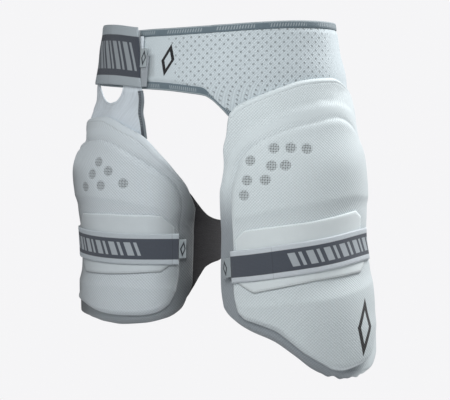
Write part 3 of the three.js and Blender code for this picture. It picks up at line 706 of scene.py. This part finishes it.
outer_outline = Outline(-36, 371, smooth(
    # across, top, foot
    (0, 0.107, 0.768), (0.05, 0.085, 0.8), (0.15, 0.058, 0.833), (0.3, 0.025, 0.8695),
    (0.4, 0.007, 0.9145), (0.5, 0, 0.963), (0.6, -0.002, 0.991), (0.72, 0.018, 1.005),
    (0.86, 0.055, 0.997), (1, 0.125, 0.945),
), smooth(
    # down, left, right
    (0, 14, 115), (0.1, 4, 118), (0.2, -8, 120), (0.3, -19, 121), (0.4, -27.5, 121),
    (0.55, -34, 120), (0.7, -39, 118), (0.85, -41, 114), (1, -38, 105),
))
outer_shell = Outline(-86, 311, smooth(
    # across, top, foot
    (0, 0.172, 0.76), (0.05, 0.148, 0.785), (0.11, 0.123, 0.795), (0.16, 0.105, 0.804),
    (0.27, 0.073, 0.83), (0.33, 0.058, 0.857), (0.39, 0.045, 0.888), (0.45, 0.034, 0.918),
    (0.56, 0.021, 0.96), (0.64, 0.009, 0.987), (0.72, 0.005, 0.995), (0.8, 0.02, 0.99),
    (0.87, 0.04, 0.98), (0.93, 0.062, 0.968), (1, 0.105, 0.935),
), smooth(
    # down, left, right
    (0, -1, 97), (0.12, -9, 101), (0.25, -14, 104), (0.4, -17, 104), (0.55, -19, 101),
    (0.7, -20, 98), (0.85, -21, 95), (1, -19, 86),
))
outer_vents = [
    (25, -122), (34, -122), (42.5, -124), (8, -136), (19, -143),
    (27, -143), (2, -160), (13.5, -160), (-2, -178),
]
# The outer guard's border turns grey between 80 and 150 mm below its top, and stays white past turns 64
# to 80, where the light falls.
outer_finish = guard_finish(
    "outer_guard_cloth", srgb(216, 226, 229), srgb(150, 158, 164), -1, (80, 150), (64, 80),
    # Painted shade darkens the outer guard past turn 40, and painted light brightens it short of turn
    # 20.
    [(40, 80, 0.05, 0), (20, -15, -0.04, 0)], (137, -344.7, 12, 36),
)
make_guard(
    "outer_guard", lead_form, outer_outline, outer_shell, 50, outer_middle,
    lambda turn, height: (
        blend(68, 105, turn) * (0.5 * blend(-132, -88, height) + 0.18 * blend(-195, -140, height))
        - 0.12 * blend(60, 85, turn) * blend(-325, -350, height)
    ),
    (34, 84), outer_vents, ("outer_pad_base", "outer_pad_shell"), outer_finish,
)

inner_outline = Outline(-73, 267, smooth(
    # across, top, foot
    (0, 0.1, 0.93), (0.07, 0.03, 0.96), (0.2, -0.01, 0.978), (0.34, -0.008, 0.984),
    (0.41, 0.014, 0.989), (0.48, 0.046, 0.993), (0.58, 0.09, 1), (0.71, 0.17, 0.996),
    (0.84, 0.255, 0.975), (0.93, 0.34, 0.93), (1, 0.45, 0.82),
), smooth(
    # down, left, right
    (0, -88, 57), (0.5, -92, 58), (1, -87, 57),
))
inner_shell = Outline(-92, 236, smooth(
    # across, top, foot
    (0, 0.09, 0.885), (0.1, 0.054, 0.925), (0.26, 0.045, 0.957), (0.37, 0.063, 0.975),
    (0.48, 0.097, 0.987), (0.6, 0.141, 0.993), (0.73, 0.19, 0.995), (0.84, 0.237, 0.985),
    (0.94, 0.294, 0.945), (1, 0.37, 0.87),
), smooth(
    # down, left, right
    (0, -58, 42), (0.15, -60, 43), (0.5, -68, 43), (0.8, -66, 43), (1, -60, 41),
))
inner_vents = [(-21, -131), (-23, -146), (-10, -143), (-30, -162), (-15, -161), (2, -159)]
# Painted shade: deep on the inner guard's side towards the wing, past turn 18, and on its far side below
# the collar.
inner_painted_shade = [(18, 60, 0.9, 0), (-14, -58, 0.38, -128), (-38, -66, 0.5, -128)]
inner_finish = guard_finish(
    "inner_guard_cloth", srgb(207, 216, 221), srgb(154, 162, 167), 1, (60, 140), (150, 170), inner_painted_shade,
)
make_guard(
    "inner_guard", trail_form, inner_outline, inner_shell, 22, inner_middle,
    lambda turn, height: blend(-40, -63, turn) * (
        0.45 * blend(-108, -98, height) - 0.38 * blend(-100, -111, height) * blend(-150, -118, height)
        - 0.6 * blend(-298, -310, height)
    ),
    (0, 1), inner_vents, ("inner_pad_base", "inner_pad_shell"), inner_finish,
)

# THE LANDING PATCHES
# A band of brushed loop cloth with cut corners is laid over each shell where the strap presses it in,
# and sewn down round its edge. The strap's hook end closes on it.


def ribbon(name, node, form, turns, middle, above, below, back, thickness, finish,
           fine=26, soft=1.2, lean=0.0):
    """A thin closed sheet between two turns, with rounded edges. It reaches so far above and below its
    middle line, its back has a lift, and its far end leans by so many degrees a millimetre."""
    turn, share = np.meshgrid(turns, evenly(0, 1, 1 / fine))
    top_edge = middle(turn) + (above(turn) if callable(above) else above)
    foot_edge = middle(turn) - (below(turn) if callable(below) else below)
    centre = (top_edge + foot_edge) / 2
    height = top_edge + (foot_edge - top_edge) * share
    turn = turn + lean * (height - centre) * blend(turns[-1] - 30, turns[-1], turn)
    along = form.girth(turn, height, 20)
    from_end = np.abs(along - along[:, -1:])
    end = np.minimum(np.abs(along - along[:, :1]), from_end)
    edge = np.minimum(np.minimum(top_edge - height, height - foot_edge), end)
    half = thickness / 2 * (0.35 + 0.65 * np.sqrt(1 - (1 - np.clip(edge / soft, 0, 1)) ** 2))
    lift = (back(turn, height) if callable(back) else back) + thickness / 2
    piece = make_sheet(name, form, turn, height, lift + half, lift - half, finish)
    mark(piece, "cloth", along, height - centre, edge)
    mark(piece, "relief", from_end, height, turn)
    front = form.point(turn, height, lift + half)[fine // 2]
    run = np.linalg.norm(np.diff(front, axis=0), axis=1)
    tall = (top_edge - foot_edge)[0]
    area = float(run @ (tall[1:] + tall[:-1]) / 2)
    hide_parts(node)


outer_patch = (
    # across, above, below
    (0, 32, 21), (0.085, 42.7, 31), (0.12, 42.9, 34.5), (0.21, 43, 33), (0.54, 42, 29.8),
    (0.93, 43.6, 33), (1, 35, 23),
)
inner_patch = (
    # across, above, below
    (0, 20, 18), (0.1, 24, 22), (0.2, 40, 36.5), (0.5, 43.6, 33.5), (0.83, 43, 29.5), (0.9, 42, 29),
    (1, 27, 17),
)


def patch_finish(name, white, wear_and_painted_light):
    finish = Finish(name, roughness=0.95, sheen=0.3)
    across, down, edge = finish.marks("cloth")
    _, height, turn = finish.marks("relief")
    nap = finish.noise(across, down, 0.9)
    clouds = finish.noise(across, down, 14)
    seam = 1 - abs(edge - 2.2).between(0.3, 0.9)
    stitch = seam * ((across + down) % 3.2).between(0.7, 1.0)
    # Painted highlight along the patch's upper edge, and painted shadow (shade) along its lower edge.
    painted_edge_highlight = (1 - edge.between(1.6, 3)) * down.between(5, 12)
    shade = (1 - edge.between(0.8, 1.8)) * (1 - down.between(-12, -5))
    tone = 0.88 + nap * 0.06 + clouds * 0.06 - stitch * 0.1 + painted_edge_highlight * 0.15 - shade * 0.26
    # Painted shade over the same turns as the patch's guard.
    tone = paint_light_and_shade(tone, turn, height, wear_and_painted_light)
    return finish.finish(finish.shade(white, tone), nap * 0.5 - seam * 0.6, 0.3)


def landing_patch(name, node, form, start, stop, middle, shape, finish):
    shares, *reaches = np.array(shape).T
    across = start + (stop - start) * shares
    above, below = (lambda turn, reach=reach: np.interp(turn, across, reach) for reach in reaches)
    turns, seat = evenly(start, stop, 0.9), pressed_face + 0.2
    ribbon(name, node, form, turns, middle, above, below, seat, patch_thickness, finish)


landing_patch(
    "outer_patch", "outer_landing_patch", lead_form, -14.5, 85, outer_middle, outer_patch,
    patch_finish("loop_cloth", srgb(228, 237, 239), []),
)
# The inner patch is the outer patch's cloth in a darker colour: painted shade on the inner side.
landing_patch(
    "inner_patch", "inner_landing_patch", trail_form, -58, 39, inner_middle, inner_patch,
    patch_finish("shaded_loop_cloth", srgb(213, 222, 226), inner_painted_shade),
)

# THE HANGER
# A panel of stretch mesh, hung between the belt and the waist strap by two arms with a notch between
# them. Its foot is sewn behind the inner guard's top edge, and slate tape binds its right edge.
hanger_height, hanger_thickness, under_lift = 137, 1.5, 2
over_belt = belt_thickness + 0.7 + binding_thickness

hanger_outline = Outline(25, hanger_height, smooth(
    # across, top, foot
    (0, 0, 0.86), (0.3, 0, 0.79), (0.335, 0.15, 0.79), (0.36, 0.39, 0.79), (0.44, 0.475, 0.79),
    (0.5, 0.53, 0.8), (0.58, 0.572, 0.81), (0.66, 0.588, 0.83), (0.735, 0.578, 0.85),
    (0.785, 0.53, 0.87), (0.815, 0.43, 0.89), (0.835, 0.15, 0.91), (0.86, 0, 0.93), (1, 0, 1),
), smooth(
    # down, left, right
    (0, -80, -21), (0.45, -80, -20.7), (0.63, -83, -16.5), (0.8, -86, -8), (1, -88, 4),
))


def hanger_lift(height):
    share = np.clip((-belt_height * 0.6 - height) / (belt_height / 4), 0, 1)
    return over_belt + (under_lift - over_belt) * share


hanger_finish = Finish("hanger_mesh_cloth", roughness=0.85)
across, down, edge = hanger_finish.marks("cloth")
mesh_pitch = 1.9
mesh_turn = math.pi * math.sqrt(2) / mesh_pitch
weave = ((across + down) * mesh_turn).wave() * ((across - down) * mesh_turn).wave()
clouds = hanger_finish.noise(across, down, 16)
# Besides its bump, the crease noise paints streaks of light and shade into the colour.
creases_and_painted_shading = hanger_finish.noise(across * 2.6, down * 0.22, 9)
hem = 1 - abs(edge - 3.2).between(0.3, 0.9)
tone = 0.88 + weave * 0.07 + clouds * 0.12 + creases_and_painted_shading * 0.34 - hem * 0.1
hanger_colour = hanger_finish.shade(srgb(206, 215, 222), tone)
hanger_finish.finish(hanger_colour, weave * 0.3 + creases_and_painted_shading * 1.6 - hem * 0.5, 0.4)

u, v = np.meshgrid(np.linspace(0, 1, 190), np.linspace(0, 1, 90))
turn, height = hanger_outline.place(u, v)
stretched = 3 * blend(-46, -62, turn) * blend(-45, -62, height) * blend(-92, -76, height)
lift = hanger_lift(height) + stretched
ripple = 0.7 * np.sin(np.radians(turn * 15) + height / 40) * blend(-46, -62, height)
hanger = make_sheet(
    "hanger_panel", trail_form, turn, height, lift + hanger_thickness + ripple, lift + ripple,
    hanger_finish,
)
spots = trail_form.unroll(turn, height)
edge = np.maximum(inside_distance(spots, hanger_outline.loop(trail_form)), 0)
mark(hanger, "cloth", *spots[1].T, edge)
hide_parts("hanger")
hanger_front = trail_form.point(turn, height, lift + hanger_thickness)

# The hanger's binding is the belt's slate tape in darker colours: painted shade, for it lies on the
# inner side.
shaded_tape = tape_finish("hanger_tape", srgb(72, 80, 88), srgb(140, 150, 156))
run = np.linspace(0.5, 0.94, 60)
channel(
    "hanger_edge_tape", "hanger_binding", trail_form, hanger_outline.place(np.ones(60), run), -1, 5.5,
    lambda turn, height: (hanger_lift(height), hanger_lift(height) + hanger_thickness), shaded_tape,
)

# THE WING
# A wing of thin black stretch cloth on the inner side of the trailing thigh joins the inner guard to its
# strap. Its black is made darker still with painted shade. It is stretched, so it is drawn in to a
# waist.
wing_height, wing_thickness = 150, 2
wing_above, wing_below = smooth(
    # turn, above, below
    (47, 0.5, 0.44), (52, 0.47, 0.43), (60, 0.39, 0.34), (68, 0.32, 0.235), (76, 0.275, 0.16),
    (88, 0.245, 0.13), (104, 0.228, 0.12), (142, 0.19, 0.1),
)

wing_finish = Finish("shaded_black_stretch_cloth", roughness=0.75, sheen=0.08)
across, down, edge = wing_finish.marks("cloth")
ribs = (across * 4.5).wave() * (down * 1.4).wave()
pull = wing_finish.noise(across * 0.25, down * 1.6, 8)
fold = 1 - abs(edge - 2.5).between(0.3, 0.9)
# The black is partly the cloth's own and partly painted shade.
wing_colour = wing_finish.shade(srgb(32, 30, 33), 0.8 + ribs * 0.06 + pull * 0.35 - fold * 0.3)
wing_finish.finish(wing_colour, ribs * 0.25 + pull * 1.4 - fold * 0.5, 0.5)

ribbon(
    "stretch_wing", "inner_wing", trail_form, evenly(47, 142, 1), inner_middle,
    lambda turn: wing_height * wing_above(turn), lambda turn: wing_height * wing_below(turn),
    under_lift, wing_thickness, wing_finish, fine=50,
)

# THE THIGH STRAPS
# Flat woven elastic with a dark band, in which a row of light slanted bars is woven, and pale selvedges.
# It sags a little in front and closes on the patch with a hook end, into which a label is sewn.


def elastic_finish(name, band, bars, seam, dark, light, woven):
    """Woven elastic. band is the dark part's height, bars where the row of bars starts and stops, how
    tall they are and how far apart, and seam where it is sewn across."""
    finish = Finish(name, roughness=0.75, sheen=0.15)
    across, down, edge = finish.marks("cloth")
    start, stop, tall, pitch = bars
    in_band = 1 - abs(down).between(band / 2 - 0.4, band / 2 + 0.4)
    along = across + down * 0.35
    slant = (along - start) % pitch
    in_row = (1 - abs(down).between(tall / 2 - 0.5, tall / 2 + 0.1)) * along.between(start - 1, start)
    in_row = in_row * (1 - along.between(stop, stop + 1))
    past = [slant.between(pitch * share, pitch * share + 0.6) for share in (0, 0.4, 0.58, 0.76)]
    bar = (past[0] * (1 - past[1]) + past[2] * (1 - past[3])) * in_row
    ribs = (across * (2 * math.pi / 0.95)).wave()
    cord = (down * (2 * math.pi / 1.6)).wave()
    wear_and_painted_light = finish.noise(across, down, 3)
    colour = finish.mix(in_band, light, dark)
    colour = finish.mix(bar, colour, woven)
    line = (1 - abs(abs(down) - band / 2).between(0.2, 0.8)) * 0.12
    sewn = 1 - abs(across - seam).between(0.3, 0.8)
    # Painted highlight along the strap's rounded edges.
    rim_highlight = (1 - edge.between(0.5, 1.3)) * 0.1
    tone = 0.94 + ribs * 0.05 + cord * 0.02 + wear_and_painted_light * 0.1 - line - sewn * 0.15 + rim_highlight
    relief = ribs * 0.35 + cord * 0.15 - line * 3 - sewn * 0.6 + bar * 0.3
    return finish.finish(finish.shade(colour, tone), relief, 0.25)


def taut_lift(turned, leaves, high, low):
    """The lift of a strap that leaves a high seat at a turn and runs straight to a low one."""
    reach = math.degrees(math.acos((thigh_half_width + low) / (thigh_half_width + high)))
    away = np.radians(np.clip(leaves + reach - turned, 0, reach))
    return (thigh_half_width + low) / np.cos(away) - thigh_half_width


def strap_lift(turned, leaves_shell, leaves_base):
    base_seat = pad_back + pad_depth + gap
    off_shell = taut_lift(turned, leaves_shell, strap_seat, base_seat)
    return off_shell + taut_lift(turned, leaves_base, base_seat, under_lift) - base_seat


def thigh_strap(name, node, form, turns, middle, back, finish):
    half = strap_height / 2
    ribbon(
        name, node, form, turns, middle, half, half, back, strap_thickness, finish,
        fine=22,
    )


slate, pale, woven = srgb(78, 84, 94), srgb(208, 216, 222), srgb(176, 184, 190)
outer_elastic = elastic_finish("outer_elastic", 26, (42, 190, 17, 22), 21.5, slate, pale, woven)
thigh_strap(
    "outer_thigh_strap", "outer_strap", lead_form, evenly(outer_strap_end, 326, 1.2), outer_middle,
    lambda turn, height: strap_lift(turn, 94, 114.1), outer_elastic,
)
# The inner strap's selvedges are the outer strap's pale made darker: painted shade on the inner side.
shaded_pale = srgb(194, 203, 209)
inner_elastic = elastic_finish("inner_elastic", 26, (-125, 26.5, 17, 22), 65, slate, shaded_pale, woven)
thigh_strap(
    "inner_thigh_strap", "inner_strap", trail_form, evenly(-235, inner_strap_end, 1.2), inner_middle,
    lambda turn, height: np.maximum(
        strap_lift(-turn, 62, 86),
        under_lift + (wing_thickness + gap) * np.clip((-212 - turn) / 6, 0, 1),
    ),
    inner_elastic,
)

# THE WAIST STRAP
# The same elastic, twice as wide. It runs from the belt's rear end round the back and the trailing hip,
# and its front end, backed with grey hook tape that shows past it, closes on the belt over the hanger.
waist_height, hook_thickness = 75, 1.2
over_hanger = over_belt + hanger_thickness + gap
waist_seat = over_hanger + hook_thickness + gap
waist_rise, waist_share = smooth(
    # turn, rise, seat
    (-242, 0, 0.69), (-221, 0.03, 0.69), (-205, 0.09, 0.2), (-180, 0.133, 0.2), (-112, 0.133, 0.2),
    (-84, 0.13, 1), (-58, 0.1, 1), (-40, 0.053, 1), (-20.5, -0.05, 1),
)
waist_end, hook_seam = -21.5, -20.5


def waist_middle(turn):
    return waist_height * waist_rise(turn)


def waist_back(turn, height):
    """The strap's top edge leans in over the trailing hip."""
    leaning = blend(14, 40, height) * blend(-40, -62, turn) * blend(-112, -90, turn)
    return waist_seat * waist_share(turn) - 2.2 * leaning


waist_elastic = elastic_finish(
    "waist_elastic", 52, (-214, -76, 36, 24), -131,
    srgb(64, 70, 80), srgb(168, 178, 184), srgb(150, 158, 164),
)
ribbon(
    "waist_band", "waist_strap", lead_form, evenly(-242, waist_end, 1.1), waist_middle,
    lambda turn: waist_height / 2 + 2.4 * blend(-112, -84, turn) - 6 * blend(-61, -80, turn),
    lambda turn: waist_height / 2 - 0.8 * blend(-112, -84, turn),
    waist_back, strap_thickness, waist_elastic, fine=36, lean=-0.053,
)

hook_finish = Finish("hook_tape", roughness=0.6)
across, down, _ = hook_finish.marks("cloth")
hooks = (across * 5).wave() * (down * 5).wave()
grime = hook_finish.noise(across, down, 6)
hook_colour = hook_finish.shade(srgb(176, 185, 192), 0.9 + hooks * 0.08 + grime * 0.12)
hook_finish.finish(hook_colour, hooks, 0.3)
degree = 2.35
ribbon(
    "waist_hook_tape", "waist_hook_end", lead_form,
    evenly(hook_seam - 60 / degree, hook_seam + 8.5 / degree, 0.5), waist_middle,
    lambda turn: 35 - 30 * blend(-23, -21.4, turn), 35.5, over_hanger, hook_thickness,
    hook_finish,
)

# THE LABELS
# A tab of white satin, with a plain dark lozenge woven in it, is folded over and sewn into the front end
# of each strap.
label_height = 24
label_finish = Finish("label_satin", roughness=0.5)
_, down, _ = label_finish.marks("cloth")
from_end, _, _ = label_finish.marks("relief")
threads = (down * 7).wave()
ring = abs((from_end - 5 + down * 0.12) / 4) + abs(down / 9.5)
lozenge = 1 - abs(ring - 0.8).between(0.18, 0.32)
label_colour = label_finish.mix(lozenge, srgb(160, 170, 174), srgb(38, 44, 52))
label_finish.finish(label_finish.shade(label_colour, 0.96 + threads * 0.05), threads * 0.3, 0.1)


def label_tab(name, node, form, end, out, length, middle, lift, drop):
    level, half = np.array(middle(end)), label_height / 2
    degree = form.girth(end + 0.5, level, lift) - form.girth(end - 0.5, level, lift)
    start, stop = end + out * gap / degree, end + out * length / degree
    ribbon(
        name, node, form, evenly(start, stop, 0.5), middle, half, half,
        lambda turn, height: lift + 0.4 - drop * ((turn - start) / (stop - start)) ** 2,
        0.8, label_finish, fine=20, soft=0.6,
    )


label_tab(
    "outer_tab", "outer_strap_label", lead_form, outer_strap_end, -1, 16, outer_middle, strap_seat, 1,
)
label_tab(
    "inner_tab", "inner_strap_label", trail_form, inner_strap_end, 1, 10.9, inner_middle, strap_seat, 3,
)
label_tab(
    "waist_tab", "waist_strap_label", lead_form, waist_end, 1, 10.9,
    lambda turn: waist_middle(turn) + 1, waist_seat, 0,
)

# THE STAGE
# A pale floor under the hanging object, a soft key light in front with a wide fill on its left, and on
# the right a strong rim light from behind and a weak one from the side.
floor_mesh = bpy.data.meshes.new("floor")
floor_radius, floor_level, corner_count = 1.3, -0.7, 96
angles = np.linspace(0, 2 * math.pi, corner_count, endpoint=False)
corners = [(math.cos(a) * floor_radius, math.sin(a) * floor_radius, floor_level) for a in angles]
floor_mesh.from_pydata(corners, [], [list(range(corner_count))])
floor = bpy.data.objects.new("floor", floor_mesh)
bpy.context.collection.objects.link(floor)
floor_finish = bpy.data.materials.new("floor_paper")
floor_finish.use_nodes = True
paper = floor_finish.node_tree.nodes["Principled BSDF"].inputs
paper["Base Color"].default_value = (0.8, 0.8, 0.81, 1)
paper["Roughness"].default_value = 0.9
floor_mesh.materials.append(floor_finish)


def soft_light(name, turn, rise, distance, size, power):
    """A square light that looks at the object's middle."""
    light = bpy.data.objects.new(name, bpy.data.lights.new(name, "AREA"))
    light.data.shape, light.data.size, light.data.energy = "SQUARE", size, power
    turn, rise = math.radians(turn), math.radians(rise)
    way = Vector((math.sin(turn) * math.cos(rise), -math.cos(turn) * math.cos(rise), math.sin(rise)))
    light.location = Vector((0, 0, -0.18)) + way * distance
    light.rotation_euler = way.to_track_quat("Z", "Y").to_euler()
    bpy.context.collection.objects.link(light)


soft_light("key", 15, 30, 0.8, 0.4, 2.8)
soft_light("fill", -30, 15, 1.3, 0.8, 3)
soft_light("rim", 130, 40, 1.1, 0.5, 13.5)
soft_light("side", 75, 10, 1.1, 0.5, 1)

world = bpy.data.worlds.new("room")
world.use_nodes = True
bpy.context.scene.world = world
nodes, links = world.node_tree.nodes, world.node_tree.links
nodes.clear()
kinds = ("OutputWorld", "Background", "Background", "MixShader", "LightPath")
output, seen, lit, pick, path = (nodes.new("ShaderNode" + kind) for kind in kinds)
seen.inputs[0].default_value = (0.915, 0.913, 0.925, 1)
lit.inputs[0].default_value = (0.93, 0.96, 1, 1)
lit.inputs[1].default_value = 0.14
links.new(path.outputs["Is Camera Ray"], pick.inputs[0])
links.new(lit.outputs[0], pick.inputs[1])
links.new(seen.outputs[0], pick.inputs[2])
links.new(pick.outputs[0], output.inputs[0])
bpy.context.scene.view_settings.view_transform = "Standard"
